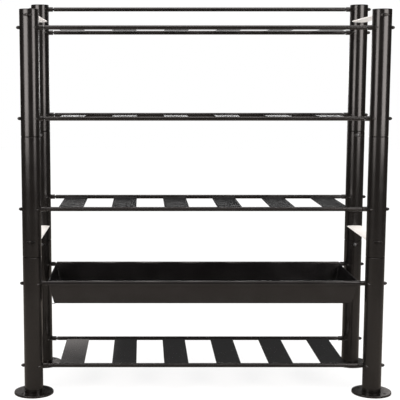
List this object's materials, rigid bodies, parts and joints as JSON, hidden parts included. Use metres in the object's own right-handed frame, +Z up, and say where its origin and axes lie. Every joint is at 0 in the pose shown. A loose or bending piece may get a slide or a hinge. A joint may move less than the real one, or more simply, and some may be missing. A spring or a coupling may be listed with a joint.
{
  "type": "steel shelving unit",
  "caption": "Free-standing rack of round tubular posts on floor plates, with through rods carrying slatted shelves, one deep tray, side braces and a raised rear rail.",
  "frame": {"origin": "on the floor, under the centre of the overall box", "axes": "+Z up, +X to the unit's right as seen from its front, -Y out of its front"},
  "size_m": [1.54, 0.58, 1.591],
  "materials": {
    "black_tube": "semi-gloss powder coat",
    "black_rod": "semi-gloss powder coat",
    "black_sheet": "satin powder coat",
    "pale_bar": "satin pale coat"
  },
  "bodies": {
    "root": {"front_left_foot": "black_tube", "front_right_foot": "black_tube", "rear_left_foot": "black_tube", "rear_right_foot": "black_tube", "front_left_cap": "black_tube", "front_right_cap": "black_tube", "rear_left_cap": "black_tube", "rear_right_cap": "black_tube", "front_left_post_lower": "black_tube", "front_left_post_middle": "black_tube", "front_left_post_upper": "black_tube", "front_right_post_lower": "black_tube", "front_right_post_middle": "black_tube", "front_right_post_upper": "black_tube", "rear_left_post_lower": "black_tube", "rear_left_post_middle": "black_tube", "rear_left_post_upper": "black_tube", "rear_right_post_lower": "black_tube", "rear_right_post_middle": "black_tube", "rear_right_post_upper": "black_tube", "bottom_front_rod": "black_rod", "bottom_rear_rod": "black_rod", "middle_front_rod": "black_rod", "middle_rear_rod": "black_rod", "upper_front_rod": "black_rod", "upper_rear_rod": "black_rod", "top_front_rod": "black_rod", "top_rear_rod": "black_rod", "tray_front_rod": "black_rod", "tray_rear_rod": "black_rod", "rear_guard_rail": "black_rod", "bottom_slat_1": "black_sheet", "bottom_slat_2": "black_sheet", "bottom_slat_3": "black_sheet", "bottom_slat_4": "black_sheet", "bottom_slat_5": "black_sheet", "bottom_slat_6": "black_sheet", "middle_slat_1": "black_sheet", "middle_slat_2": "black_sheet", "middle_slat_3": "black_sheet", "middle_slat_4": "black_sheet", "middle_slat_5": "black_sheet", "middle_slat_6": "black_sheet", "upper_slat_1": "black_sheet", "upper_slat_2": "black_sheet", "upper_slat_3": "black_sheet", "upper_slat_4": "black_sheet", "upper_slat_5": "black_sheet", "upper_slat_6": "black_sheet", "top_slat_1": "black_sheet", "top_slat_2": "black_sheet", "top_slat_3": "black_sheet", "top_slat_4": "black_sheet", "top_slat_5": "black_sheet", "top_slat_6": "black_sheet", "tray": "black_sheet", "left_brace_lower": "pale_bar", "left_brace_upper": "pale_bar", "right_brace_lower": "pale_bar", "right_brace_upper": "pale_bar"}
  },
  "joints": []
}
